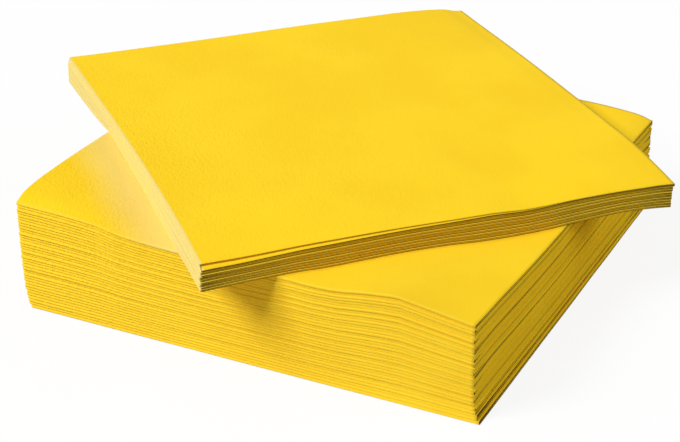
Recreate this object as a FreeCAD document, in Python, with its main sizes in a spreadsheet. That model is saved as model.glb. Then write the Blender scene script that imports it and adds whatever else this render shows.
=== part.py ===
import FreeCAD, Part
import Sketcher
import math
import os

# A loose stack of folded paper napkins: a square pile, and a thinner bundle laid across it,
# turned and overhanging. Each napkin is one square tissue sheet folded twice, to a square of
# four layers. In a napkin's own frame its middle is the origin, the spine fold that wraps all
# four layers is at -Y, the two paired folds are at -X, and the cut edges are at +X and +Y.
# The pile's bottom face is centred on the part's origin, and +Z is up.

# alias, value, what it is
SIZES = (
    ("napkin_side", 200.0, "side of the folded napkin, mm"),
    ("layer_thickness", 0.245, "one tissue layer of three plies, mm"),
    ("layer_gap", 0.035, "air between two layers, mm"),
    ("crease_nose", 0.30, "depth of a paired fold's sharp crease, mm"),
    ("rest_clearance", 0.02, "air where one pressed napkin lies on the next, mm"),
    ("loose_clearance", 0.12, "air between the bundle's napkins, which nothing presses, mm"),
    ("pile_count", 36.0, "napkins in the square pile"),
    ("bundle_count", 9.0, "napkins in the bundle laid across the pile"),
    ("pair_lean", 0.059, "lean that a napkin's springy paired folds add to the pile, degrees"),
    ("end_lean", 0.027, "lean that a napkin's lifted end adds to the pile, degrees"),
    ("loose_lean", 0.035, "lean that the paired folds add to the bundle, degrees"),
    ("edge_stagger", 0.15, "how far neighbours alternate at the cut edges, mm"),
    ("stray_slide", 0.16, "how far a napkin strays sideways, mm"),
    ("stray_turn", 0.08, "how far a napkin strays in its turn, degrees"),
    ("foot_slide", 0.9, "how far the lowest napkins have slid out, mm"),
    ("bundle_turn", -40.84, "turn of the bundle on the pile, degrees"),
    ("bundle_shift_x", -10.2, "bundle's middle from the pile's, along X, mm"),
    ("bundle_shift_y", 18.6, "bundle's middle from the pile's, along Y, mm"),
    ("flap_setback", 4.2, "top layer's cut edge back from the others at the spine, mm"),
    ("flap_reach", 185.0, "distance from the spine over which that setback dies out, mm"),
)

# Each napkin strays by this angle more than the last one, so no two stray alike.
STRAY_STEP = 137.5


def fill_sheet(doc):
    """Writes the driving dimensions into a spreadsheet, one alias to a row."""
    sheet = doc.addObject("Spreadsheet::Sheet", "Sizes")
    for row, (alias, value, note) in enumerate(SIZES, start=1):
        sheet.set(f"A{row}", note)
        sheet.set(f"B{row}", str(value))
        sheet.setAlias(f"B{row}", alias)
    doc.recompute()
    return sheet


def origin_plane(body, role):
    """The body's own origin plane that has the role."""
    return next(f for f in body.Origin.OriginFeatures if f.Role == role)


def new_sketch(body, name, role):
    """An empty sketch on one of the body's origin planes."""
    sketch = body.newObject("Sketcher::SketchObject", name)
    sketch.AttachmentSupport = [(origin_plane(body, role), "")]
    sketch.MapMode = "FlatFace"
    return sketch


def hold_point(sketch, point, along_x, along_y):
    """Holds a point at distances from the sketch origin, on the sides where it is drawn.

    The point is (geometry, vertex); each distance is (drawn value, expression).
    """
    origin = (-1, 1)
    for kind, (drawn, expression) in (("DistanceX", along_x), ("DistanceY", along_y)):
        first, second = (origin, point) if drawn >= 0 else (point, origin)
        held = sketch.addConstraint(Sketcher.Constraint(kind, *first, *second, abs(drawn)))
        sketch.setExpression(f"Constraints[{held}]", expression)


def draw_outline(sketch, corners, round_from=None, centre=None):
    """Draws a closed outline through corners held by distances from the sketch origin.

    Each corner is (drawn x, expression, drawn y, expression), with the expressions unsigned.
    The stretch that starts at corner number round_from is a half circle about the centre.
    """
    first_line, count = sketch.GeometryCount, len(corners)
    spots = [FreeCAD.Vector(x, y, 0) for x, _, y, _ in corners]
    for index in range(count):
        here, after = spots[index], spots[(index + 1) % count]
        if index == round_from:
            circle = Part.Circle(FreeCAD.Vector(centre[0], 0, 0), FreeCAD.Vector(0, 0, 1), here.y)
            sketch.addGeometry(Part.ArcOfCircle(circle, math.pi / 2, 3 * math.pi / 2), False)
        else:
            sketch.addGeometry(Part.LineSegment(here, after), False)
    for index in range(count):
        line, after = first_line + index, first_line + (index + 1) % count
        sketch.addConstraint(Sketcher.Constraint("Coincident", line, 2, after, 1))
    for index, (x, x_rule, y, y_rule) in enumerate(corners):
        hold_point(sketch, (first_line + index, 1), (x, x_rule), (y, y_rule))
    if centre:
        arc_centre = (first_line + round_from, 3)
        held = sketch.addConstraint(
            Sketcher.Constraint("DistanceX", *arc_centre, -1, 1, abs(centre[0])))
        sketch.setExpression(f"Constraints[{held}]", centre[1])


# Half the napkin's height, half its side, and the height of the middle slot's upper wall.
HALF_HEIGHT = "(2 * Sizes.layer_thickness + 1.5 * Sizes.layer_gap)"
HALF_SIDE = "(Sizes.napkin_side / 2)"
SLOT = "(Sizes.layer_gap / 2)"
# The spine's middle line lies this far from the napkin's middle.
REACH = f"({HALF_SIDE} - {HALF_HEIGHT})"
# A bend between two layers turns in three flats, whose corners lie at this share of its radius.
BEND = math.tan(math.radians(22.5))


class Drawn:
    """The same lengths as plain numbers, which sketches are drawn with before they are bound."""

    def __init__(self, value):
        self.layer = value["layer_thickness"]
        self.slot = value["layer_gap"] / 2
        self.side = value["napkin_side"] / 2
        self.height = 2 * self.layer + 3 * self.slot
        self.reach = self.side - self.height
        self.nose = value["crease_nose"]


def mirrored(corners):
    """The corners, followed by their mirror images below the sketch's middle, in reverse."""
    return list(corners) + [(x, xr, -y, yr) for x, xr, y, yr in reversed(corners)]


def bend_corners(drawn, radius, rule):
    """The upper corners of a U between two layers, from the cut edge to the spine."""
    return [
        (drawn.side, HALF_SIDE, radius, rule),
        (-drawn.reach - BEND * radius, f"{REACH} + {BEND:.5f} * {rule}", radius, rule),
        (-drawn.reach - radius, f"{REACH} + {rule}", BEND * radius, f"{BEND:.5f} * {rule}"),
    ]


def slot_corners(drawn):
    """The corners of the middle slot, from below its open end round to above it."""
    walls = [(drawn.side, HALF_SIDE, drawn.slot, SLOT), (-drawn.reach, REACH, drawn.slot, SLOT)]
    return mirrored(walls)[::-1]


def draw_leaves(sketch, drawn):
    """Draws the outer pair of layers and the inner pair, each bent round the spine."""
    top = (drawn.height, HALF_HEIGHT)
    under = (drawn.height - drawn.layer, f"({HALF_HEIGHT} - Sizes.layer_thickness)")
    over = (drawn.slot + drawn.layer, f"({SLOT} + Sizes.layer_thickness)")
    outside = mirrored([(drawn.side, HALF_SIDE, *top), (-drawn.reach, REACH, *top)])
    inside = mirrored(bend_corners(drawn, *under))[::-1]
    draw_outline(sketch, outside + inside, round_from=1, centre=(-drawn.reach, REACH))
    draw_outline(sketch, mirrored(bend_corners(drawn, *over)) + slot_corners(drawn))


def draw_crease(sketch, drawn):
    """Draws both layers as one, where the paired folds close them, round the spine as well."""
    top = (drawn.height, HALF_HEIGHT)
    outside = mirrored([(drawn.side, HALF_SIDE, *top), (-drawn.reach, REACH, *top)])
    draw_outline(sketch, outside + slot_corners(drawn), round_from=1,
                 centre=(-drawn.reach, REACH))


def draw_noses(sketch, drawn):
    """Draws what is taken away so that each paired fold ends in a sharp crease."""
    nose = (drawn.nose - drawn.side, f"{HALF_SIDE} - Sizes.crease_nose")
    past = (-drawn.side - 1, f"{HALF_SIDE} + 1")
    tip = (-drawn.side, HALF_SIDE)
    pair = ((drawn.height + drawn.slot) / 2, f"({HALF_HEIGHT} + {SLOT}) / 2")
    top = (drawn.height, HALF_HEIGHT)
    above = (drawn.height + 1, f"{HALF_HEIGHT} + 1")
    slot = (drawn.slot, SLOT)
    bevel = [(*nose, *top), (*tip, *pair), (*past, *pair), (*past, *above), (*nose, *above)]
    draw_outline(sketch, bevel)
    draw_outline(sketch, [(x, xr, -y, yr) for x, xr, y, yr in bevel])
    draw_outline(sketch, mirrored([(*past, *pair), (*tip, *pair), (*nose, *slot)]))


def leaning(height, lean_x, lean_y):
    """The expression of a plane at that height, leaning by degrees about X and about Y."""
    return f"placement(vector(0; 0; {height}); rotation(0; ({lean_y}) * 1 deg; ({lean_x}) * 1 deg))"


def lying(slide_x, slide_y, turn):
    """The expression of a slide and a turn, in degrees, within a plane."""
    return f"placement(vector({slide_x}; {slide_y}; 0); rotation(({turn}) * 1 deg; 0; 0))"


def make_napkin(doc, label, value, set_back=False):
    """Builds one folded napkin, in its own frame.

    The side profile has the spine fold, and the paired folds close its layers at one end.
    """
    drawn = Drawn(value)
    body = doc.addObject("PartDesign::Body", label)
    body.Label = label
    pads = (
        ("crease", draw_crease, "Sizes.crease_nose + Sizes.layer_thickness"),
        ("leaves", draw_leaves, "Sizes.napkin_side"),
    )
    for name, draw, length in pads:
        sketch = new_sketch(body, f"{label}_{name}_profile", "YZ_Plane")
        sketch.setExpression("AttachmentOffset.Base.z", f"-{HALF_SIDE} * 1 mm")
        draw(sketch, drawn)
        pad = body.newObject("PartDesign::Pad", f"{label}_{name}")
        pad.Profile = sketch
        pad.setExpression("Length", length)
    noses = new_sketch(body, f"{label}_noses_profile", "XZ_Plane")
    draw_noses(noses, drawn)
    cut = body.newObject("PartDesign::Pocket", f"{label}_noses")
    cut.Profile = noses
    cut.Type = "ThroughAll"
    cut.Midplane = True
    if set_back:
        cut_flap_back(body, label, value)
    return body


def cut_flap_back(body, label, value):
    """Cuts the top layer's open edge back in a long taper, so that the next layer shows."""
    side = value["napkin_side"] / 2
    sketch = new_sketch(body, f"{label}_setback_profile", "XY_Plane")
    past = (side + 1, f"{HALF_SIDE} + 1")
    draw_outline(sketch, [
        (*past, -past[0], past[1]),
        (*past, value["flap_reach"] - side, f"Sizes.flap_reach - {HALF_SIDE}"),
        (side - value["flap_setback"], f"{HALF_SIDE} - Sizes.flap_setback", -past[0], past[1]),
    ])
    level = f"({HALF_HEIGHT} - Sizes.layer_thickness - Sizes.layer_gap / 2)"
    sketch.setExpression("AttachmentOffset.Base.z", f"{level} * 1 mm")
    pocket = body.newObject("PartDesign::Pocket", f"{label}_setback")
    pocket.Profile = sketch
    pocket.Reversed = True
    pocket.setExpression("Length", "Sizes.layer_thickness * 4")


def slide_share(level):
    """How far a pile napkin at this level, 0 to 1, has slid towards +X, as a share."""
    return math.exp(-level / 0.08) - 0.4 * math.sin(math.pi * level)


def main():
    """Builds the pile and the bundle, and writes each napkin to its own file."""
    os.makedirs("parts", exist_ok=True)
    doc = FreeCAD.newDocument("napkins")
    sheet = fill_sheet(doc)
    value = {alias: sheet.get(alias) for alias, _, _ in SIZES}

    height = f"(2 * {HALF_HEIGHT})"
    half_up = f"placement(vector(0; 0; {HALF_HEIGHT}); rotation(0; 0; 0))"
    pile_rise = (f"({height} + Sizes.rest_clearance"
                 f" + {HALF_SIDE} * (sin(Sizes.pair_lean * 1 deg) + sin(Sizes.end_lean * 1 deg)))")
    loose_rise = f"({height} + Sizes.loose_clearance + {HALF_SIDE} * sin(Sizes.loose_lean * 1 deg))"

    napkins = []
    pile_count, bundle_count = round(value["pile_count"]), round(value["bundle_count"])
    for number in range(pile_count):
        stray = math.radians(STRAY_STEP * number)
        side_step = 1 if number % 2 else -1
        slid = slide_share(number / (pile_count - 1))
        seat = leaning(
            f"{number} * {pile_rise}", f"{number} * Sizes.end_lean", f"{number} * Sizes.pair_lean")
        place = lying(
            f"{side_step} * Sizes.edge_stagger + {math.cos(stray):.3f} * Sizes.stray_slide"
            f" + {slid:.3f} * Sizes.foot_slide",
            f"{math.sin(stray):.3f} * Sizes.stray_slide",
            f"{math.sin(stray * 1.7):.3f} * Sizes.stray_turn")
        napkin = make_napkin(doc, f"pile_napkin_{number + 1:02d}", value)
        napkin.setExpression("Placement", f"{seat} * {place} * {half_up}")
        napkins.append(napkin)

    pile_top = leaning(
        f"Sizes.pile_count * {pile_rise}",
        "Sizes.pile_count * Sizes.end_lean", "Sizes.pile_count * Sizes.pair_lean")
    across = lying("Sizes.bundle_shift_x", "Sizes.bundle_shift_y", "Sizes.bundle_turn")
    for number in range(bundle_count):
        stray = math.radians(STRAY_STEP * (number + pile_count))
        side_step = 1 if number % 2 else -1
        seat = leaning(f"{number} * {loose_rise}", "0", f"{number} * Sizes.loose_lean")
        place = lying(
            f"{side_step / 2} * Sizes.edge_stagger + {math.cos(stray) / 2:.3f} * Sizes.stray_slide",
            f"{math.sin(stray) / 2:.3f} * Sizes.stray_slide",
            f"{math.sin(stray * 1.7):.3f} * Sizes.stray_turn")
        top = number == bundle_count - 1
        napkin = make_napkin(doc, f"bundle_napkin_{number + 1:02d}", value, set_back=top)
        napkin.setExpression(
            "Placement", f"{pile_top} * {across} * {seat} * {place} * {half_up}")
        napkins.append(napkin)

    doc.recompute()
    for obj in doc.Objects:
        bad = [state for state in obj.State if state in ("Invalid", "Error")]
        if bad:
            raise RuntimeError(f"{obj.Name}: {bad}")
    for napkin in napkins:
        shape = napkin.Shape
        if shape.isNull() or not shape.isValid() or len(shape.Solids) != 1:
            raise RuntimeError(f"{napkin.Label} is not one valid solid")
        shape.exportStep(f"parts/{napkin.Label}.step")
        print(napkin.Label, round(shape.Volume, 1))


main()
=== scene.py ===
"""Dresses the stack of folded paper napkins: every napkin is remade as one folded tissue sheet.

Lengths are in metres, in the frame's own axes: the pile stands on Z = 0, its spine folds face -Y,
its paired folds face -X, and its cut edges face +X and +Y.
"""

import logging
import math
from dataclasses import dataclass, field
from enum import Enum

import bpy
import numpy as np
from mathutils import Matrix, Vector


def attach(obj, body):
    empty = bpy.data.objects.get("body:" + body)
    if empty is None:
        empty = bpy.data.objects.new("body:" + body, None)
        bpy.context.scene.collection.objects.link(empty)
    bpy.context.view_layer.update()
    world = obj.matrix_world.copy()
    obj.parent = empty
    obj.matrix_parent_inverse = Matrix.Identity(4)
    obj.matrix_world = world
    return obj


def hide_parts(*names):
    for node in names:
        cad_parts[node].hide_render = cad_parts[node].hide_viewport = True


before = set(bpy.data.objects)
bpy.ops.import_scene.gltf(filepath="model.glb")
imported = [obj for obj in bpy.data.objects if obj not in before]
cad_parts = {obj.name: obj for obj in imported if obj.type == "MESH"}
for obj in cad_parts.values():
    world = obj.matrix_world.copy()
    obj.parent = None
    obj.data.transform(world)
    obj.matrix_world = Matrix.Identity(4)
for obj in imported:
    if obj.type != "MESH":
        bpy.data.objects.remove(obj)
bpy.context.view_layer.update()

LOG = logging.getLogger("napkins")
MM = 0.001
Socket = bpy.types.NodeSocket
Sockets = bpy.types.bpy_prop_collection
Colour = tuple[float, float, float, float]
Fed = dict[str | int, object]
VECTOR, NUMBER = "NodeSocketVector", "NodeSocketFloat"
GEOMETRY, MATERIAL = "NodeSocketGeometry", "NodeSocketMaterial"


# Helpers for node trees


class NodeWriter:
    """Adds nodes to a tree and links them as it goes."""

    def __init__(self, tree: bpy.types.NodeTree) -> None:
        """Keeps the tree that the nodes go to."""
        self.tree = tree

    def add(self, kind: str, fed: Fed | None = None, **settings: object) -> bpy.types.Node:
        """Adds a node.

        Args:
            kind: the node's type name.
            fed: what its inputs get, by name or number.
            settings: properties to set on it before that.

        Returns:
            The new node.
        """
        node = self.tree.nodes.new(kind)
        for name, value in settings.items():
            setattr(node, name, value)
        return self.fill(node, fed or {})

    def feed(self, socket: Socket, value: object) -> None:
        """Links a socket into another, or sets its plain value.

        Args:
            socket: the input socket.
            value: an output socket, a number, a vector or a colour.
        """
        if isinstance(value, bpy.types.NodeSocket):
            self.tree.links.new(value, socket)
        else:
            socket.default_value = value

    def fill(self, node: bpy.types.Node, fed: Fed) -> bpy.types.Node:
        """Feeds a node's inputs.

        Args:
            node: the node.
            fed: what its inputs get, by name or number.

        Returns:
            The same node.
        """
        for name, value in fed.items():
            self.feed(node.inputs[name], value)
        return node

    def group(self, tree: bpy.types.NodeTree, fed: Fed) -> Sockets:
        """Adds a node group.

        Args:
            tree: the group's tree.
            fed: what its inputs get, by name.

        Returns:
            Its outputs.
        """
        return self.add(tree.bl_idname.replace("Tree", "Group"), fed, node_tree=tree).outputs

    def math(self, operation: str, *values: object, clamp: bool = False) -> Socket:
        """Adds a Math node and returns its result.

        Args:
            operation: the node's operation.
            values: what its inputs get, in order.
            clamp: whether the result is held between 0 and 1.

        Returns:
            The result socket.
        """
        return self.add("ShaderNodeMath", dict(enumerate(values)), operation=operation,
                        use_clamp=clamp).outputs[0]

    def times(self, first: object, *others: object) -> Socket:
        """The product of two or more numbers."""
        for other in others:
            first = self.math("MULTIPLY", first, other)
        return first

    def vector(self, operation: str, *values: object) -> Socket:
        """Adds a Vector Math node and returns its result.

        Args:
            operation: the node's operation.
            values: what its inputs get, in order.

        Returns:
            The result socket, a number or a vector as the operation has it.
        """
        keys = (0, "Scale") if operation == "SCALE" else range(len(values))
        node = self.add("ShaderNodeVectorMath", dict(zip(keys, values)), operation=operation)
        return node.outputs["Value" if operation in ("DOT_PRODUCT", "LENGTH") else "Vector"]

    def parts(self, vector: object) -> Sockets:
        """A vector's parts, by X, Y and Z."""
        return self.add("ShaderNodeSeparateXYZ", {0: vector}).outputs

    def noise(self, vector: object, scale: object, detail: float, seed: object) -> Sockets:
        """Adds a four-dimensional noise texture, whose fourth coordinate is the seed.

        Args:
            vector: where it is read.
            scale: features to the metre.
            detail: octaves.
            seed: the fourth coordinate.

        Returns:
            Its outputs.
        """
        return self.add("ShaderNodeTexNoise", {
            "Vector": vector, "W": seed, "Scale": scale, "Detail": detail, "Roughness": 0.5,
        }, noise_dimensions="4D").outputs

    def mix(self, share: object, low: object, high: object) -> Socket:
        """Mixes two colours.

        Args:
            share: 0 for the low colour, 1 for the high one.
            low: the first colour.
            high: the second colour.

        Returns:
            The mixed colour.
        """
        return self.add("ShaderNodeMix", {0: share, 6: low, 7: high}, data_type="RGBA").outputs[2]

    def ramp(self, value: object, start: object, end: object,
             low: object = 0.0, high: object = 1.0) -> Socket:
        """Maps a number smoothly from one range to another.

        Args:
            value: what is mapped.
            start: where the low result ends.
            end: where the high result begins.
            low: the result at start.
            high: the result at end.

        Returns:
            The mapped number.
        """
        return self.add("ShaderNodeMapRange", {
            "Value": value, "From Min": start, "From Max": end, "To Min": low, "To Max": high,
        }, interpolation_type="SMOOTHSTEP").outputs["Result"]


def new_group(name: str, inputs: dict[str, str], outputs: dict[str, str],
              kind: str = "ShaderNodeTree") -> tuple[NodeWriter, Sockets, Sockets]:
    """Starts a node group with named inputs and outputs.

    Args:
        name: the group's name.
        inputs: socket type by input name.
        outputs: socket type by output name.
        kind: its tree's type.

    Returns:
        The writer of its tree, what its inputs give, and what its outputs take.
    """
    tree = bpy.data.node_groups.new(name, kind)
    for way, sockets in (("INPUT", inputs), ("OUTPUT", outputs)):
        for socket, socket_kind in sockets.items():
            tree.interface.new_socket(name=socket, in_out=way, socket_type=socket_kind)
    write = NodeWriter(tree)
    return write, write.add("NodeGroupInput").outputs, write.add("NodeGroupOutput").inputs


def linear(red: int, green: int, blue: int) -> Colour:
    """The scene colour of a screen colour given as 0 to 255."""
    shares = (value / 255 for value in (red, green, blue))
    lit = [s / 12.92 if s <= 0.04045 else ((s + 0.055) / 1.055) ** 2.4 for s in shares]
    return (lit[0], lit[1], lit[2], 1.0)


def grey(level: float) -> Colour:
    """The scene colour of that grey."""
    return (level, level, level, 1.0)


# The folded sheet


@dataclass(frozen=True)
class FoldedSheet:
    """One tissue sheet, folded twice to a square of four layers, lying flat on its middle plane.

    The two paired folds are at -X and the spine fold is at -Y, as in the frame.

    Attributes:
        pair_spring: how far the paired folds spring apart; inner_spring is the inner layer's share.
        cells: of a straight run, bunched at its ends; end_stations are its second and last two.
        roundness: the spine fold's power, 1 for a half circle; pressed makes it squarer at +X.
        swell: how much higher the napkin is at the spine, dying out over swell_reach.
        trim: how short the layers are cut; tuck is how much shorter the inner ones are.
        setback: how far the topmost layer's edge lies back at the spine; flap_lift is its lift.
        spine_draw: how far the spine is drawn in, dying out over draw_reach.
        shade: how dark the painted shade of recesses makes the cut edges, from 0 to 1.
        edge_ramp: how far from a cut edge its unevenness begins; corner_calm is the share of it
            that is lost at the ends, past calm_from.
        corner_radius: of the corner that both folds share; corner_depth is its reach in radii.
    """

    side: float = 200 * MM
    layer: float = 0.245 * MM
    gap: float = 0.035 * MM
    pair_spring: float = 0.1 * MM
    cells: int = 28
    pair_cells: int = 6
    spine_cells: int = 10
    bunching: float = 0.1
    end_stations: tuple[float, float, float] = (0.008, 0.982, 0.993)
    inner_spring: float = 0.2
    roundness: float = 0.7
    pressed: float = 0.0
    swell: float = 0.0
    swell_reach: float = 9 * MM
    trim: float = 0.0
    tuck: float = 0.0
    setback: float = 0.0
    setback_reach: float = 165 * MM
    flap_lift: float = 0.0
    spine_draw: float = 0.0
    draw_reach: float = 25 * MM
    shade: float = 0.0
    edge_ramp: float = 25 * MM
    corner_calm: float = 0.8
    calm_from: float = 0.8
    corner_radius: float = 0.6 * MM
    corner_depth: float = 4.0

    @property
    def half_height(self) -> float:
        """Half the folded napkin's height."""
        return 2 * self.layer + 1.5 * self.gap

    @property
    def flat_side(self) -> float:
        """The open sheet's side."""
        return 2 * self.side

    def run(self) -> np.ndarray:
        """Spaces the stations of a straight run, closer together at both ends.

        Returns:
            Shares of the run, from 0 at the cut edge to 1 at the fold.
        """
        even = np.linspace(0.0, 1.0, self.cells + 1)
        bunched = even - self.bunching * np.sin(2 * math.pi * even)
        bunched[1], bunched[-3], bunched[-2] = self.end_stations
        return bunched

    def hairpin(self) -> np.ndarray:
        """The section of two layers joined by a paired fold, from one cut edge to the other.

        Returns:
            Rows of x, height over the middle plane, and the outward normal's two parts, with the
            share of the way along the sheet in the last column.
        """
        half = self.side / 2
        outer = self.half_height - self.layer / 2
        inner = self.gap / 2 + self.layer / 2
        inner_rise, outer_rise = self.inner_spring * self.pair_spring, self.pair_spring
        radius = (outer + outer_rise - inner - inner_rise) / 2
        turn_x = -half + radius + self.layer / 2
        middle = (outer + outer_rise + inner + inner_rise) / 2
        there = [(half + (turn_x - half) * s, outer + outer_rise * s, 0.0, 1.0, 0.5 * s)
                 for s in self.run()]
        angles = np.linspace(math.pi / 2, 3 * math.pi / 2, self.pair_cells + 1)[1:-1]
        bend = [(turn_x + radius * math.cos(a), middle + radius * math.sin(a),
                 math.cos(a), math.sin(a), 0.5) for a in angles]
        back = [(half + (turn_x - half) * s, inner + inner_rise * s, 0.0, -1.0, 1 - 0.5 * s)
                for s in self.run()[::-1]]
        return np.array(there + bend + back)

    def wrap(self) -> np.ndarray:
        """The way round the spine, from the upper cut edge to the lower one.

        Returns:
            Rows of y where the way is straight, the angle turned round the spine, and the share
            of the way along the sheet.
        """
        half = self.side / 2
        turn_y = -half + self.half_height + self.pair_spring
        above = [(half + (turn_y - half) * s, 0.0, 0.5 * s) for s in self.run()]
        angles = np.linspace(0.0, math.pi, self.spine_cells + 1)[1:-1]
        round_spine = [(turn_y, a, 0.5) for a in angles]
        below = [(half + (turn_y - half) * s, math.pi, 1 - 0.5 * s) for s in self.run()[::-1]]
        return np.array(above + round_spine + below)

    def near_cut(self, towards: np.ndarray) -> np.ndarray:
        """How near places are to the cut edge they lie towards: 1 at it, 0 well inside."""
        return np.clip((towards - self.side / 2) / self.edge_ramp + 1.0, 0.0, 1.0) ** 2

    def calm(self, beside: np.ndarray) -> np.ndarray:
        """How much of its unevenness a cut edge keeps at places along it."""
        corner = (np.abs(beside) / self.side * 2 - self.calm_from) / (1.0 - self.calm_from)
        return 1.0 - self.corner_calm * np.clip(corner, 0.0, 1.0)

    def rounded(self, x: np.ndarray, from_spine: np.ndarray) -> np.ndarray:
        """How far the corner of both folds is rounded back from the spine.

        Args:
            x: places across the napkin.
            from_spine: distances from the spine.

        Returns:
            The distance away from the spine.
        """
        left = np.clip(1.0 - (x + self.side / 2) / self.corner_radius, 0.0, 1.0)
        back = self.corner_radius * (1.0 - np.sqrt(1.0 - left**2))
        reach = self.corner_depth * self.corner_radius
        return back * np.exp(-np.maximum(from_spine, 0.0) / reach)

    def surface(self, pin: np.ndarray, way: np.ndarray, outward: float) -> np.ndarray:
        """Lays out one of the sheet's two faces.

        Args:
            pin: the rows of the hairpin.
            way: the rows of the way round the spine.
            outward: 1 for the outward face and -1 for the inward one.

        Returns:
            The face's points, in rows of x, y and height.
        """
        x = (pin[:, 0] + outward * self.layer / 2 * pin[:, 2])[:, None]
        height = (pin[:, 1] + outward * self.layer / 2 * pin[:, 3])[:, None]
        y, angle = way[None, :, 0], way[None, :, 1]
        inner = (np.arange(len(pin)) > self.cells)[:, None]
        on_top = ~inner * (angle < math.pi / 2)
        x, y = np.broadcast_arrays(x, y)
        from_spine = y + self.side / 2
        power = self.roundness - self.pressed * x / self.side * 2
        over, up = np.sin(angle) ** power, np.cos(angle)
        up = np.sign(up) * np.abs(up) ** power
        up = up * (1.0 + self.swell * np.exp(-from_spine / self.swell_reach))
        flap = on_top * np.clip(1.0 - from_spine / self.setback_reach, 0.0, 1.0)
        short_x = self.calm(y) * (self.trim + self.tuck * inner) + self.setback * flap
        short_y = self.calm(x) * (self.trim + self.tuck * (1.0 - inner))
        drawn_in = (self.spine_draw * np.exp(-from_spine / self.draw_reach)
                    + self.rounded(x, from_spine))
        spread_x = x - self.near_cut(x) * short_x
        spread_y = y - height * over + drawn_in - self.near_cut(y) * short_y
        lifted = height * up + self.flap_lift * flap * self.near_cut(x)
        return np.stack([spread_x, spread_y, lifted], axis=-1).reshape(-1, 3)

    def build(self, name: str, place: Matrix) -> bpy.types.Mesh:
        """Builds the closed mesh of the folded sheet.

        Args:
            name: the mesh's name.
            place: where the napkin lies.

        Returns:
            The mesh, with the open sheet's own coordinates as its UV map.
        """
        pin, way = self.hairpin(), self.wrap()
        points = np.concatenate([self.surface(pin, way, outward) for outward in (1.0, -1.0)])
        turned = points @ np.array(place.to_3x3()).T + np.array(place.translation)
        flat = np.stack(np.broadcast_arrays(pin[:, 4][:, None], way[None, :, 2]), axis=-1)
        flat = np.tile(flat.reshape(-1, 2), (2, 1))
        faces, smooth = self.faces(len(pin), len(way))
        mesh = bpy.data.meshes.new(name)
        mesh.from_pydata(turned.tolist(), [], faces.tolist())
        mesh.polygons.foreach_set("use_smooth", smooth)
        flat_map = mesh.uv_layers.new(name="sheet")
        corners = np.empty(len(mesh.loops), dtype=np.int64)
        mesh.loops.foreach_get("vertex_index", corners)
        flat_map.data.foreach_set("uv", flat[corners].ravel())
        # Painted shade of the cut edges, read by the tissue.
        shade = mesh.attributes.new("shade", "FLOAT", "POINT")
        shade.data.foreach_set("value", np.full(len(points), self.shade))
        mesh.update()
        return mesh

    @staticmethod
    def faces(columns: int, rows: int) -> tuple[np.ndarray, np.ndarray]:
        """The quads of both faces of the sheet and of the cut edges that join them.

        Args:
            columns: stations along the hairpin.
            rows: stations round the spine.

        Returns:
            The quads, and whether each is shaded smooth.
        """
        index = np.arange(columns * rows).reshape(columns, rows)
        under = index + columns * rows
        sides = [(index[:-1, :-1], index[1:, :-1], index[1:, 1:], index[:-1, 1:]),
                 (under[:-1, :-1], under[:-1, 1:], under[1:, 1:], under[1:, :-1])]
        for top, low in ((index[0], under[0]), (index[-1][::-1], under[-1][::-1]),
                         (index[::-1, 0], under[::-1, 0]), (index[:, -1], under[:, -1])):
            sides.append((top[:-1], top[1:], low[1:], low[:-1]))
        quads = [np.stack(side, axis=-1).reshape(-1, 4) for side in sides]
        smooth = np.repeat([True, False], [2 * len(quads[0]), sum(map(len, quads[2:]))])
        return np.concatenate(quads), smooth


# How the napkins lie


class Group(Enum):
    """The two groups of napkins."""

    PILE = "pile"
    BUNDLE = "bundle"


def leaning(height: float, lean_x: float, lean_y: float) -> Matrix:
    """A plane at that height, leaning by degrees about X and about Y."""
    return (Matrix.Translation((0, 0, height)) @ Matrix.Rotation(math.radians(lean_y), 4, "Y")
            @ Matrix.Rotation(math.radians(lean_x), 4, "X"))


def lying(slide_x: float, slide_y: float, turn: float) -> Matrix:
    """A slide and a turn, in degrees, within a plane."""
    return Matrix.Translation((slide_x, slide_y, 0)) @ Matrix.Rotation(math.radians(turn), 4, "Z")


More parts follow.
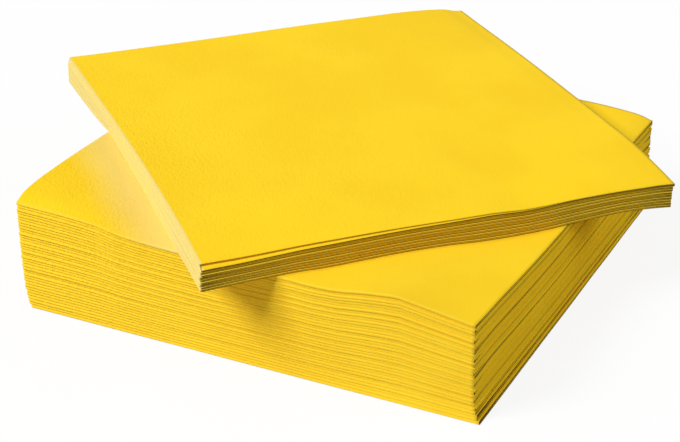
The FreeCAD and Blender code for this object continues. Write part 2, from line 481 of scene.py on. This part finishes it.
@dataclass(frozen=True)
class Stacking:
    """The lie of every napkin, which follows the frame's own rules."""

    sheet: FoldedSheet = FoldedSheet()
    pile_count: int = 36
    bundle_count: int = 9
    rest_clearance: float = 0.02 * MM
    loose_clearance: float = 0.12 * MM
    pair_lean: float = 0.059
    end_lean: float = 0.027
    loose_lean: float = 0.035
    edge_stagger: float = 0.03 * MM
    stray_slide: float = 0.09 * MM
    stray_turn: float = 0.08
    stray_step: float = 137.5
    stray_turn_step: float = 1.7
    foot_slide: float = 0.9 * MM
    foot_reach: float = 0.08
    belly: float = 0.4
    shoulder: float = 0.7 * MM
    shoulder_power: int = 7
    bundle_turn: float = -40.84
    bundle_shift: tuple[float, float] = (-10.2 * MM, 18.6 * MM)

    def lift(self, lean: float) -> float:
        """How much a lean adds at the napkin's middle."""
        return self.sheet.side / 2 * math.sin(math.radians(lean))

    @property
    def pile_rise(self) -> float:
        """What each pile napkin adds to the height."""
        return (2 * self.sheet.half_height + self.rest_clearance
                + self.lift(self.pair_lean) + self.lift(self.end_lean))

    @property
    def loose_rise(self) -> float:
        """What each bundle napkin adds to the height."""
        return 2 * self.sheet.half_height + self.loose_clearance + self.lift(self.loose_lean)

    def slide_share(self, level: float) -> float:
        """How far a pile napkin at this level, 0 to 1, has slid towards +X, as a share."""
        return math.exp(-level / self.foot_reach) - self.belly * math.sin(math.pi * level)

    def stray(self, count: int, share: float) -> Matrix:
        """The small slide and turn that a napkin's number in the stack gives it.

        Args:
            count: the napkin's number, counted through both groups.
            share: how much of the slide it takes.

        Returns:
            The slide and turn.
        """
        angle = math.radians(self.stray_step * count)
        return lying(share * math.cos(angle) * self.stray_slide,
                     share * math.sin(angle) * self.stray_slide,
                     math.sin(angle * self.stray_turn_step) * self.stray_turn)

    def bundle_frame(self) -> Matrix:
        """The leaning plane of the pile's top, turned and shifted as the bundle is."""
        top = leaning(self.pile_count * self.pile_rise, self.pile_count * self.end_lean,
                      self.pile_count * self.pair_lean)
        return top @ lying(*self.bundle_shift, self.bundle_turn)

    def pile_place(self, number: int) -> Matrix:
        """Where a pile napkin's middle lies.

        Args:
            number: its number from the bottom, from 0.

        Returns:
            Its placement.
        """
        side_step = 1 if number % 2 else -1
        seat = leaning(number * self.pile_rise + self.lift(self.pair_lean) / 2,
                       number * self.end_lean, (number + 0.5) * self.pair_lean)
        slide = (side_step * self.edge_stagger
                 + self.slide_share(number / (self.pile_count - 1)) * self.foot_slide)
        return (seat @ lying(slide, 0.0, 0.0) @ self.stray(number, 1.0)
                @ Matrix.Translation((0, 0, self.sheet.half_height)))

    def bundle_place(self, number: int) -> Matrix:
        """Where a bundle napkin's middle lies.

        Args:
            number: its number from the pile's top, from 0.

        Returns:
            Its placement.
        """
        side_step = 0.5 if number % 2 else -0.5
        shoulder = self.shoulder * (number / (self.bundle_count - 1)) ** self.shoulder_power
        seat = leaning(number * self.loose_rise + self.lift(self.pair_lean) / 2,
                       0.0, number * self.loose_lean + 0.5 * self.pair_lean)
        return (self.bundle_frame() @ seat @ lying(side_step * self.edge_stagger, shoulder, 0.0)
                @ self.stray(number + self.pile_count, 0.5)
                @ Matrix.Translation((0, 0, self.sheet.half_height)))


@dataclass(frozen=True)
class EdgeWave:
    """A wave that runs along one edge of a group and dies out inwards from it.

    The points are places along the edge and heights there, in millimetres.
    """

    points: tuple[tuple[float, float], ...]
    along: Vector
    inward: Vector
    fade: float
    origin: Vector = field(default_factory=Vector)
    sharp: tuple[int, ...] = ()


WAVE_REACH = 110 * MM
WAVE_HEIGHT = 6 * MM


def wave_group(wave: EdgeWave) -> bpy.types.NodeTree:
    """Builds the tree that gives the height of an edge wave at each place.

    Args:
        wave: the wave.

    Returns:
        A geometry node group with the height as its output.
    """
    write, given, out = new_group(
        "edge_wave", dict.fromkeys(("Position", "Origin", "Along", "Inward"), VECTOR)
        | {"Half side": NUMBER, "Fade": NUMBER}, {"Height": NUMBER}, "GeometryNodeTree")
    spot = write.vector("SUBTRACT", given["Position"], given["Origin"])
    along = write.vector("DOT_PRODUCT", spot, given["Along"])
    inward = write.vector("DOT_PRODUCT", spot, given["Inward"])
    curve = write.add("ShaderNodeFloatCurve")
    points = curve.mapping.curves[0].points
    while len(points) < len(wave.points):
        points.new(0.5, 0.5)
    for number, (point, (x, z)) in enumerate(zip(points, wave.points)):
        point.location = (0.5 + x * MM / (2 * WAVE_REACH), 0.5 + z * MM / (2 * WAVE_HEIGHT))
        point.handle_type = "VECTOR" if number in wave.sharp else "AUTO"
    curve.mapping.update()
    write.feed(curve.inputs["Value"], write.math(
        "ADD", 0.5, write.math("DIVIDE", along, 2 * WAVE_REACH)))
    height = write.times(write.math("SUBTRACT", curve.outputs[0], 0.5), 2 * WAVE_HEIGHT)
    depth = write.math("ABSOLUTE", write.math("ADD", inward, given["Half side"]))
    fading = write.math("EXPONENT", write.times(
        write.math("DIVIDE", depth, given["Fade"]), -1.0))
    write.feed(out[0], write.times(height, fading))
    return write.tree


@dataclass(frozen=True)
class Settling:
    """How a group of napkins has settled: waves along its edges, and corners that hang over.

    The waves of the first set grow from nothing at the group's foot to all of it at its head.
    Those of the second are whole at its foot, where it lies on the group below.
    """

    rising: tuple[EdgeWave, ...]
    falling: tuple[EdgeWave, ...]
    origin: Vector
    up: Vector
    head: float
    sag: float = 0.0
    foot: float = 0.0
    bow: float = 0.0
    droops: tuple[float, float, float, float] = (0.0, 0.0, 0.0, 0.0)


# The sides past which a corner droops, in the order of a settling's droops
DROOP_SIDES = {"Droop right": ("X", 1.0), "Droop left": ("X", -1.0),
               "Droop front": ("Y", -1.0), "Droop back": ("Y", 1.0)}
DROOP_POWER = 1.6
SAG_PLACE = (80 * MM, -30 * MM, 0.0)
SAG_REACH = 75 * MM
FOOT_HEIGHT = 4 * MM
# The foot spreads forward by this share of its place: (-FOOT_PIVOT - x) / FOOT_SPAN, in half sides
FOOT_PIVOT = 1.6
FOOT_SPAN = 3.0
RIPPLE_DETAIL = 3.0
SEED_STEP = 3.7


def settle_tree(name: str, how: Settling) -> bpy.types.NodeTree:
    """Builds the tree that lets a napkin settle with its neighbours.

    Args:
        name: the tree's name.
        how: the group's settling, whose waves the tree holds.

    Returns:
        The geometry node tree.
    """
    inputs = {"Geometry": GEOMETRY, "Origin": VECTOR, "Up": VECTOR, "Bow way": VECTOR,
              "Material": MATERIAL}
    inputs |= dict.fromkeys(("Head", "Half side", "Sag", "Foot", "Bow", "Ripple",
                             "Ripple scale", "Seed", *DROOP_SIDES), NUMBER)
    write, given, out = new_group(name, inputs, {"Geometry": GEOMETRY}, "GeometryNodeTree")
    half = given["Half side"]
    place = write.add("GeometryNodeInputPosition").outputs[0]
    world = write.parts(place)
    spot = write.vector("SUBTRACT", place, given["Origin"])
    level = write.math("DIVIDE", write.vector("DOT_PRODUCT", spot, given["Up"]),
                       given["Head"], clamp=True)
    falling = write.math("SUBTRACT", 1.0, level)

    from_sag = write.vector("MULTIPLY", write.vector("SUBTRACT", place, SAG_PLACE),
                            (1.0, 1.0, 0.0))
    reach = write.math("DIVIDE", write.vector("LENGTH", from_sag), SAG_REACH)
    pressed = write.math("EXPONENT", write.times(reach, reach, -1.0))
    rise = write.times(pressed, given["Sag"], falling if how.falling else level)
    for waves, share in ((how.rising, level), (how.falling, falling)):
        for wave in waves:
            height = write.group(wave_group(wave), {
                "Position": place, "Origin": wave.origin, "Along": wave.along,
                "Inward": wave.inward, "Half side": half, "Fade": wave.fade})[0]
            rise = write.math("ADD", rise, write.times(height, share))
    for key, (axis, sign) in DROOP_SIDES.items():
        past = write.math("SUBTRACT", write.times(world[axis], sign), half)
        past = write.math("DIVIDE", write.math("MAXIMUM", past, 0.0), half)
        rise = write.math("ADD", rise, write.times(
            given[key], write.math("POWER", past, DROOP_POWER)))

    low = write.math("EXPONENT", write.math("DIVIDE", write.times(world["Z"], -1.0), FOOT_HEIGHT))
    low = write.times(low, given["Foot"])
    ahead = write.math("SUBTRACT", write.times(half, -FOOT_PIVOT), world["X"])
    spread = write.add("ShaderNodeCombineXYZ", {
        "X": write.times(low, write.math("DIVIDE", write.times(world["Y"], -1.0), half)),
        "Y": write.times(low, write.math("DIVIDE", ahead, write.times(half, FOOT_SPAN))),
        "Z": rise}).outputs[0]

    side = write.math("SUBTRACT", write.vector("DOT_PRODUCT", spot, given["Bow way"]), half)
    across = write.vector("CROSS_PRODUCT", given["Bow way"], given["Up"])
    middle = write.math("DIVIDE", write.vector("DOT_PRODUCT", spot, across), half)
    bent = write.math("SUBTRACT", 1.0, write.times(middle, middle))
    near = write.math("DIVIDE", side, write.times(half, -2.0), clamp=True)
    bow = write.vector("SCALE", given["Bow way"], write.times(
        bent, write.times(near, near), given["Bow"]))

    ripple = write.noise(place, given["Ripple scale"], RIPPLE_DETAIL, given["Seed"])["Color"]
    shift = write.vector("MULTIPLY", write.vector("SUBTRACT", ripple, (0.5, 0.5, 0.5)),
                         (1.0, 1.0, 0.0))
    offset = write.vector("ADD", write.vector("SCALE", shift, given["Ripple"]), spread)
    move = write.add("GeometryNodeSetPosition", {
        "Geometry": given["Geometry"], "Offset": write.vector("ADD", offset, bow)})
    real = write.add("GeometryNodeRealizeInstances", {0: move.outputs[0]})
    dress = write.add("GeometryNodeSetMaterial", {
        "Geometry": real.outputs[0], "Material": given["Material"]})
    write.feed(out[0], dress.outputs[0])
    return write.tree


# Finishes


CREPE_TURN = math.radians(-40)
CREPE_STRETCH = (1.0, 0.5, 1.0)
# The share of the open sheet's side that counts as its cut edge
RIM = 0.0002


def crepe_group() -> bpy.types.NodeTree:
    """Builds the fine crepe of the tissue: short wrinkles, stronger where it is less pressed.

    Returns:
        A shader group that gives the height of the wrinkles and how strong they are.
    """
    write, given, out = new_group(
        "tissue_crepe", {"Vector": VECTOR, "Wrinkles": NUMBER},
        {"Height": NUMBER, "Strength": NUMBER})
    turned = write.add("ShaderNodeVectorRotate", {
        "Vector": given["Vector"], "Angle": CREPE_TURN}, rotation_type="Z_AXIS").outputs[0]
    wrinkles = write.add("ShaderNodeTexNoise", {
        "Vector": write.vector("MULTIPLY", turned, CREPE_STRETCH), "Scale": given["Wrinkles"],
        "Detail": 3.0, "Distortion": 0.6}, noise_dimensions="3D")
    write.feed(out["Height"], wrinkles.outputs[0])
    parts = write.parts(given["Vector"])
    patch = write.noise(given["Vector"], scale=11.0, detail=2.0, seed=3.0)[0]
    side = write.ramp(parts["X"], start=-80 * MM, end=70 * MM, low=1.0, high=0.3)
    back = write.ramp(parts["Y"], start=-60 * MM, end=60 * MM, low=1.0, high=0.4)
    patchy = write.ramp(patch, start=0.35, end=0.65, low=0.55, high=1.25)
    write.feed(out["Strength"], write.math(
        "MULTIPLY", write.times(side, back), patchy, clamp=True))
    return write.tree


def cloud_group() -> bpy.types.NodeTree:
    """Builds the broad, faint unevenness of pressed paper.

    Returns:
        A shader group that gives a share from 0 to 1 and the same as a height.
    """
    write, given, out = new_group(
        "pressed_clouds", {"Vector": VECTOR, "Size": NUMBER},
        {"Share": NUMBER, "Height": NUMBER})
    cloud = write.noise(given["Vector"], given["Size"], detail=4.0, seed=1.0)[0]
    write.feed(out["Share"], write.ramp(cloud, start=0.36, end=0.64))
    write.feed(out["Height"], cloud)
    return write.tree


def edges_group() -> bpy.types.NodeTree:
    """Builds the masks of the folded sheet's edges from the open sheet's own coordinates.

    Returns:
        A shader group that gives the band along the spine fold where a highlight is painted, all
        the cut edges, and those of the layers under the top one, which lie in its shade.
    """
    write, given, out = new_group(
        "sheet_edges", {"Sheet": VECTOR, "Band": NUMBER},
        {"Fold": NUMBER, "Cut": NUMBER, "Lower cut": NUMBER})
    parts = write.parts(given["Sheet"])
    away = {axis: write.math("ABSOLUTE", write.math("SUBTRACT", parts[axis], 0.5))
            for axis in ("X", "Y")}
    cut = write.math("MAXIMUM", *(
        write.math("GREATER_THAN", off, 0.5 - RIM) for off in away.values()))
    fold = write.ramp(away["Y"], start=write.times(given["Band"], 0.5), end=given["Band"],
                      low=1.0, high=0.0)
    write.feed(out["Fold"], write.times(fold, write.math("SUBTRACT", 1.0, cut)))
    write.feed(out["Cut"], cut)
    write.feed(out["Lower cut"], write.math(
        "MAXIMUM", write.math("GREATER_THAN", parts["X"], 1.0 - RIM),
        write.math("GREATER_THAN", parts["Y"], 0.5)))
    return write.tree


def glow_band_group() -> bpy.types.NodeTree:
    """Builds the mask of a painted band of light that runs beside a line and dies out away from it.

    Returns:
        A shader group that gives the share of fading.
    """
    write, given, out = new_group(
        "painted_glow_band", {"Vector": VECTOR, "Way": VECTOR, "Start": NUMBER, "Reach": NUMBER},
        {"Share": NUMBER})
    along = write.vector("DOT_PRODUCT", given["Vector"], given["Way"])
    past = write.math("DIVIDE", write.math("SUBTRACT", along, given["Start"]), given["Reach"])
    beyond = write.ramp(past, start=-0.6, end=-0.2)
    uneven = write.noise(given["Vector"], scale=30.0, detail=2.0, seed=7.0)[0]
    past = write.math("ADD", past, write.times(uneven, 0.3))
    write.feed(out["Share"], write.times(
        beyond, write.ramp(past, start=0.15, end=1.05, low=1.0, high=0.0)))
    return write.tree


@dataclass(frozen=True)
class Tissue:
    """The napkins' three-ply tissue, dyed through."""

    name: str = "tissue"
    colour: Colour = linear(255, 214, 28)
    shade: Colour = linear(252, 208, 23)
    # pale is the colour of painted highlight and light: the spine fold band and the pool beside the
    # bundle mix towards it.
    pale: Colour = linear(241, 217, 128)
    cut: Colour = linear(255, 214, 24)
    # Painted shade: the cut edges of recessed napkins and, by lower_shade, of the layers under each
    # top one mix towards this colour.
    painted_shade_cut: Colour = linear(92, 62, 0)
    lower_shade: float = 0.15
    roughness: float = 0.95
    specular: float = 0.08
    sheen: float = 0.06
    sheen_roughness: float = 0.6
    sheen_tint: Colour = (1.0, 0.93, 0.55, 1.0)
    # Painted highlight along the spine fold, as a share of the pale colour.
    fold_highlight: float = 0.08
    fold_band: float = 0.0015
    # A painted pool of light beside the bundle's spine, cast back from it: its share, its way,
    # start and reach.
    painted_glow: float = 0.0
    glow_way: tuple[float, float, float] = (0.0, 0.0, 0.0)
    glow_start: float = 0.0
    glow_reach: float = 26 * MM
    wrinkles: float = 900.0
    crepe_depth: float = 0.45 * MM
    # How much the crepe is smoothed where the highlight and light are painted.
    highlight_smooth: float = 0.9
    cloud_size: float = 20.0
    cloud_depth: float = 2.2 * MM
    cloud_strength: float = 0.5

    def colours(self, write: NodeWriter, spot: Socket, cloud: Socket) -> tuple[Socket, Socket]:
        """Writes the base colour.

        Args:
            write: the material's node writer.
            spot: object coordinates.
            cloud: the share of the broad unevenness.

        Returns:
            The base colour, and the mask of the painted highlight and light, where the crepe is
            also smoothed.
        """
        edges = write.group(edges_group(), {
            "Sheet": write.add("ShaderNodeUVMap", uv_map="sheet").outputs[0],
            "Band": self.fold_band})
        body = write.mix(cloud, self.shade, self.colour)
        # Painted highlight along the spine fold and painted light beside the bundle, mixed towards
        # the pale colour.
        pressed = write.times(edges["Fold"], self.fold_highlight)
        if self.painted_glow:
            band = write.group(glow_band_group(), {
                "Vector": spot, "Way": self.glow_way, "Start": self.glow_start,
                "Reach": self.glow_reach})
            pressed = write.math("MAXIMUM", pressed, write.times(band[0], self.painted_glow))
        body = write.mix(pressed, body, self.pale)
        # Painted shade on the cut edges: each napkin's own, and more on the layers under the top
        # one.
        shade = write.add("ShaderNodeAttribute", attribute_name="shade").outputs["Fac"]
        shade = write.math("ADD", shade, write.times(edges["Lower cut"], self.lower_shade),
                           clamp=True)
        cut = write.mix(shade, self.cut, self.painted_shade_cut)
        return write.mix(edges["Cut"], body, cut), pressed

    def material(self) -> bpy.types.Material:
        """Builds the material.

        Returns:
            The tissue material.
        """
        made = bpy.data.materials.new(self.name)
        made.use_nodes = True
        made.diffuse_color = self.colour
        write = NodeWriter(made.node_tree)
        shader = made.node_tree.nodes["Principled BSDF"]
        spot = write.add("ShaderNodeTexCoord").outputs["Object"]
        crepe = write.group(crepe_group(), {"Vector": spot, "Wrinkles": self.wrinkles})
        cloud = write.group(cloud_group(), {"Vector": spot, "Size": self.cloud_size})
        colour, pressed = self.colours(write, spot, cloud["Share"])
        rough = write.math("SUBTRACT", 1.0, write.times(pressed, self.highlight_smooth))
        fine = write.add("ShaderNodeBump", {
            "Strength": write.times(crepe["Strength"], rough), "Distance": self.crepe_depth,
            "Height": crepe["Height"]})
        broad = write.add("ShaderNodeBump", {
            "Strength": self.cloud_strength, "Distance": self.cloud_depth,
            "Height": cloud["Height"], "Normal": fine.outputs[0]})
        write.fill(shader, {
            "Base Color": colour, "Normal": broad.outputs[0], "Roughness": self.roughness,
            "Specular IOR Level": self.specular, "Sheen Weight": self.sheen,
            "Sheen Roughness": self.sheen_roughness, "Sheen Tint": self.sheen_tint})
        return made


# The stack


# How far in the pile's topmost napkins lie, as a share, and how much painted shade darkens their
# cut edges
TOP_EDGES = ((0.0, 0.95), (0.0, 0.1), (1.0, 1.0))
# The napkins at the pile's foot whose cut edges get painted shade
FOOT_PAINTED_SHADE = (0, 2)


def irregular(count: int, step: float, depth: float, slow: float) -> float:
    """A fixed but irregular value from -1 to 1, by the napkin's number in the stack."""
    return math.sin(step * count + depth * math.sin(slow * count))


@dataclass
class NapkinStack:
    """Builds every napkin of the pile and of the bundle."""

    stacking: Stacking = field(default_factory=Stacking)
    tissue: Tissue = field(default_factory=Tissue)
    # The bundle's tissue paints a strong highlight on its spine folds, a lighter highlight on its
    # cut edges, and shade on the cut edges of the layers under each top one.
    painted_light_tissue: Tissue = Tissue(
        name="tissue_painted_fold_light", fold_highlight=1.0, cut=linear(255, 226, 84),
        painted_shade_cut=linear(129, 98, 0), lower_shade=1.0)
    fine_cells: int = 52
    ripple: float = 0.55 * MM
    ripple_scale: float = 26.0
    edge_trim: float = 0.3 * MM
    edge_recess: float = 1.6 * MM
    spine_uneven: float = 0.5 * MM
    flap_lift: float = 0.75 * MM
    top_setback: float = 2.7 * MM
    top_tuck: float = 0.2 * MM
    # Painted shade on the top bundle napkin's cut edges, for the dark line under its lifted flap.
    top_shade: float = 0.7

    def pile_waves(self) -> tuple[EdgeWave, ...]:
        """Shapes three of the pile's edges, and the dent under the bundle's front.

        Returns:
            The waves.
        """
        bundle = self.stacking.bundle_frame()
        axes = bundle.to_3x3()
        right, back = Vector((1, 0, 0)), Vector((0, 1, 0))
        return (
            EdgeWave(
                points=((-110, 0), (-66, 0), (-50, -1.9), (-30, -2.3), (5, -1.6), (20, -0.9),
                        (34, -0.6), (44, 0.5), (56, 2.8), (68.6, 4.7), (100, 1.0), (110, 1.0)),
                along=right, inward=back, fade=32 * MM, sharp=(9, 10)),
            EdgeWave(
                points=((-110, 0), (-100, 0), (-97, 1.2), (-90, 3.0), (-78, 4.0), (-40, 4.6),
                        (20, 3.0), (80, 0), (110, 0)),
                along=back, inward=right, fade=26 * MM),
            EdgeWave(
                points=((-110, 0), (-40, 1.2), (50, 3.1), (75, 3.1), (90, 2.2), (97, 0.9),
                        (100, 0), (110, 0)),
                along=right, inward=-back, fade=34 * MM),
            EdgeWave(
                points=((-110, 0), (-90, 0), (-62, -0.2), (-50, -0.7), (-25, -0.8), (0, -1.3),
                        (15, -2.0), (40, -2.1), (60, -1.2), (84, 0.3), (110, 0)),
                along=axes.col[1], inward=-axes.col[0], origin=bundle.translation,
                fade=40 * MM),
        )

    def settling(self, group: Group) -> Settling:
        """How one of the groups has settled.

        Args:
            group: the pile or the bundle.

        Returns:
            Its settling.
        """
        pile = self.pile_waves()
        if group is Group.PILE:
            return Settling(
                rising=pile, falling=(), origin=Vector(), up=Vector((0, 0, 1)),
                head=39.5 * MM, sag=-1.8 * MM, foot=1.6 * MM)
        place = self.stacking.bundle_frame()
        axes = place.to_3x3()
        front_edge = EdgeWave(
            points=((-110, -2.7), (-100, -2.8), (-80, -3.5), (-55, -2.9), (-14, -2.7), (5, -3.0),
                    (20, -3.1), (34, -3.9), (50, -3.4), (68, -2.4), (84, -1.4), (100, -0.3),
                    (110, -0.3)),
            along=axes.col[1], inward=-axes.col[0], origin=place.translation, fade=45 * MM)
        back_edge = EdgeWave(
            points=((-110, 0), (-100, 0), (-60, 0.9), (0, 1.7), (40, 1.9), (75, 2.3), (90, 1.6),
                    (100, 0), (110, 0)),
            along=axes.col[1], inward=axes.col[0], origin=place.translation, fade=60 * MM)
        return Settling(
            rising=(front_edge, back_edge), falling=pile, origin=place.translation,
            up=axes.col[2], head=11 * MM, sag=-1.8 * MM, bow=2.0 * MM,
            droops=(-24 * MM, 5.2 * MM, -13 * MM, -4.1 * MM))

    def settle(self, piece: bpy.types.Object, tree: bpy.types.NodeTree, how: Settling,
               seed: int, material: bpy.types.Material) -> None:
        """Runs the settling tree on a napkin and keeps the result as its mesh.

        Args:
            piece: the napkin.
            tree: the settling tree.
            how: the group's settling.
            seed: what sets this napkin's ripples apart.
            material: the tissue.
        """
        keys = {item.name: item.identifier for item in tree.interface.items_tree
                if item.in_out == "INPUT"}
        modifier = piece.modifiers.new("settle", "NODES")
        modifier.node_group = tree
        values = {
            "Origin": how.origin, "Up": how.up, "Head": how.head,
            "Half side": self.stacking.sheet.side / 2, "Sag": how.sag, "Foot": how.foot,
            "Bow": how.bow, "Bow way": self.stacking.bundle_frame().to_3x3().col[1],
            "Ripple": self.ripple, "Ripple scale": self.ripple_scale,
            "Seed": seed * SEED_STEP, "Material": material, **dict(zip(DROOP_SIDES, how.droops)),
        }
        for name, value in values.items():
            modifier[keys[name]] = value
        settled = piece.evaluated_get(bpy.context.evaluated_depsgraph_get())
        mesh = bpy.data.meshes.new_from_object(settled)
        mesh.name = piece.name
        piece.modifiers.remove(modifier)
        piece.data, flat_mesh = mesh, piece.data
        bpy.data.meshes.remove(flat_mesh)

    def edges(self, group: Group, count: int) -> dict[str, float]:
        """How a napkin's edges are: the fold's squareness, how short its layers are cut, and their
        painted shade.

        Args:
            group: the pile or the bundle.
            count: the napkin's number, counted through both groups.

        Returns:
            The folded sheet's fields by name.
        """
        chance = 0.5 + 0.5 * irregular(count, step=2.399, depth=1.1, slow=0.7)
        if group is Group.BUNDLE:
            return {"roundness": 0.15, "swell": 0.11, "trim": 0.3 * MM * chance,
                    "tuck": 0.7 * MM, "corner_radius": 2.0 * MM}
        recess = max(0.0, irregular(count, step=2.03, depth=0.9, slow=0.61)) ** 1.5
        # dark is painted shade on the cut edges, strongest on the recessed napkins.
        dark = 0.22 * math.modf(count * 0.618)[0] + recess
        from_top = self.stacking.pile_count - 1 - count
        if from_top < len(TOP_EDGES):
            recess, dark = TOP_EDGES[from_top]
        elif count in FOOT_PAINTED_SHADE:
            dark = 1.0
        return {
            "roundness": 0.55 + 0.33 * chance, "pressed": 0.42, "swell": 0.018,
            "trim": self.edge_trim * (count % 2) + self.edge_recess * recess,
            "tuck": (0.6 if count % 2 else 0.25) * MM,
            "shade": min(dark, 1.0),
            "spine_draw": self.spine_uneven * (1.0 - chance) ** 2,
        }

    def glow_tissue(self) -> Tissue:
        """Paints a pool of light on the pile's top napkin beside the bundle's spine, as cast back
        from it.

        Returns:
            Its tissue.
        """
        place = self.stacking.bundle_frame()
        way = -place.to_3x3().col[1]
        return Tissue(
            name="tissue_painted_glow", painted_glow=0.75, glow_way=tuple(way),
            glow_start=place.translation.dot(way) + self.stacking.sheet.side / 2)

    def build(self) -> None:
        """Builds, settles and declares all the napkins, from the bottom up."""
        finishes = {Group.PILE: self.tissue.material(), Group.BUNDLE: self.painted_light_tissue.material()}
        painted_glow = self.glow_tissue().material()
        below: bpy.types.Object | None = None
        count = 0
        for group, amount, place in (
                (Group.PILE, self.stacking.pile_count, self.stacking.pile_place),
                (Group.BUNDLE, self.stacking.bundle_count, self.stacking.bundle_place)):
            how = self.settling(group)
            tree = settle_tree(f"settle_{group.value}", how)
            for number in range(amount):
                on_top = number == amount - 1
                look, finish = self.edges(group, count), finishes[group]
                if on_top and group is Group.BUNDLE:
                    look |= {"setback": self.top_setback, "flap_lift": self.flap_lift,
                             "tuck": self.top_tuck, "shade": self.top_shade}
                elif on_top:
                    finish = painted_glow
                sheet = FoldedSheet(
                    cells=self.fine_cells if on_top else self.stacking.sheet.cells, **look)
                name = f"{group.value}_sheet_{number + 1:02d}"
                mesh = sheet.build(name, place(number))
                piece = bpy.data.objects.new(name, mesh)
                bpy.context.scene.collection.objects.link(piece)
                self.settle(piece, tree, how, count, finish)
                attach(piece, "root")
                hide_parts(f"{group.value}_napkin_{number + 1:02d}")
                below, count = piece, count + 1
                LOG.info("%s: %d faces", name, len(piece.data.polygons))


# The studio


@dataclass(frozen=True)
class Lamp:
    """A square lamp that faces the stack, with its azimuth from +X towards +Y and its watts."""

    name: str
    azimuth: float
    elevation: float
    distance: float
    size: float
    power: float


@dataclass(frozen=True)
class Studio:
    """The floor, the lamps and the camera."""

    floor_side: float = 8.0
    floor_drop: float = 0.2 * MM
    floor_roughness: float = 0.9
    floor_tone: float = 0.95
    floor_glow: float = 0.88
    bounce: float = 0.45
    ambient: float = 0.33
    lamps: tuple[Lamp, ...] = (
        Lamp("key", azimuth=233, elevation=43, distance=4.5, size=1.8, power=173),
        Lamp("side_fill", azimuth=20, elevation=28, distance=3.0, size=2.2, power=24.5))
    look_at: tuple[float, float, float] = (0.0, 0.0, 0.03)
    lens: float = 88.66
    sensor: float = 36.0
    clipping: tuple[float, float] = (0.01, 50.0)
    camera_place: tuple[float, float, float] = (0.29652, -0.57632, 0.33231)
    camera_yaw: float = -27.694
    camera_pitch: float = 26.005
    camera_roll: float = -1.008

    def hang(self, lamp: Lamp) -> None:
        """Hangs a lamp where it faces the stack.

        Args:
            lamp: the lamp.
        """
        data = bpy.data.lights.new(lamp.name, "AREA")
        data.shape, data.size, data.energy = "SQUARE", lamp.size, lamp.power
        turn, rise = math.radians(lamp.azimuth), math.radians(lamp.elevation)
        way = Vector((math.cos(turn) * math.cos(rise), math.sin(turn) * math.cos(rise),
                      math.sin(rise)))
        piece = bpy.data.objects.new(lamp.name, data)
        piece.location = Vector(self.look_at) + way * lamp.distance
        piece.rotation_euler = way.to_track_quat("Z", "Y").to_euler()
        bpy.context.scene.collection.objects.link(piece)

    def camera(self) -> None:
        """Sets the camera where the photograph was taken from."""
        yaw, pitch = math.radians(self.camera_yaw), math.radians(self.camera_pitch)
        ahead = Vector((math.sin(yaw) * math.cos(pitch), math.cos(yaw) * math.cos(pitch),
                        -math.sin(pitch)))
        right = Vector((math.cos(yaw), -math.sin(yaw), 0.0))
        up = right.cross(ahead)
        axes = Matrix((right, up, -ahead)).transposed().to_4x4()
        data = bpy.data.cameras.new("camera")
        data.lens, data.sensor_width, data.sensor_fit = self.lens, self.sensor, "HORIZONTAL"
        data.clip_start, data.clip_end = self.clipping
        camera = bpy.data.objects.new("camera", data)
        camera.matrix_world = (Matrix.Translation(self.camera_place) @ axes
                               @ Matrix.Rotation(math.radians(self.camera_roll), 4, "Z"))
        bpy.context.scene.collection.objects.link(camera)
        bpy.context.scene.camera = camera

    def floor(self) -> None:
        """Lays the pale floor, which keeps the stack's soft shadow."""
        half = self.floor_side / 2
        mesh = bpy.data.meshes.new("floor")
        mesh.from_pydata([(-half, -half, 0), (half, -half, 0), (half, half, 0), (-half, half, 0)],
                         [], [(0, 1, 2, 3)])
        floor = bpy.data.objects.new("floor", mesh)
        floor.location.z = -self.floor_drop
        made = bpy.data.materials.new("pale_floor")
        made.use_nodes = True
        nodes = made.node_tree.nodes
        write = NodeWriter(made.node_tree)
        shader = nodes["Principled BSDF"]
        glow = write.add("ShaderNodeEmission", {"Color": grey(1.0)})
        path = write.add("ShaderNodeLightPath").outputs
        seen = write.math("MAXIMUM", path["Is Camera Ray"], path["Is Glossy Ray"])
        write.fill(shader, {"Roughness": self.floor_roughness, "Base Color": write.mix(
            seen, grey(self.bounce), grey(self.floor_tone))})
        blend = write.add("ShaderNodeMixShader", {
            0: write.times(seen, self.floor_glow), 1: shader.outputs[0], 2: glow.outputs[0]})
        write.feed(nodes["Material Output"].inputs["Surface"], blend.outputs[0])
        mesh.materials.append(made)
        bpy.context.scene.collection.objects.link(floor)

    def sky(self) -> None:
        """Makes the surroundings white to the eye, and a plain even light otherwise."""
        world = bpy.data.worlds.new("studio")
        world.use_nodes = True
        bpy.context.scene.world = world
        write = NodeWriter(world.node_tree)
        path = write.add("ShaderNodeLightPath").outputs
        seen = write.math("MAXIMUM", path["Is Camera Ray"], write.math(
            "MAXIMUM", path["Is Glossy Ray"], path["Is Transmission Ray"]))
        write.fill(world.node_tree.nodes["Background"], {
            "Color": grey(1.0), "Strength": write.ramp(seen, 0.0, 1.0, self.ambient, 1.0)})

    def build(self) -> None:
        """Builds the floor, the surroundings, the lamps and the camera."""
        self.floor()
        self.sky()
        for lamp in self.lamps:
            self.hang(lamp)
        self.camera()
        bpy.context.scene.view_settings.view_transform = "Standard"


def main() -> None:
    """Builds the stack and the studio."""
    logging.basicConfig(level=logging.INFO, format="%(name)s: %(message)s")
    NapkinStack().build()
    Studio().build()


if __name__ == "__main__":
    main()
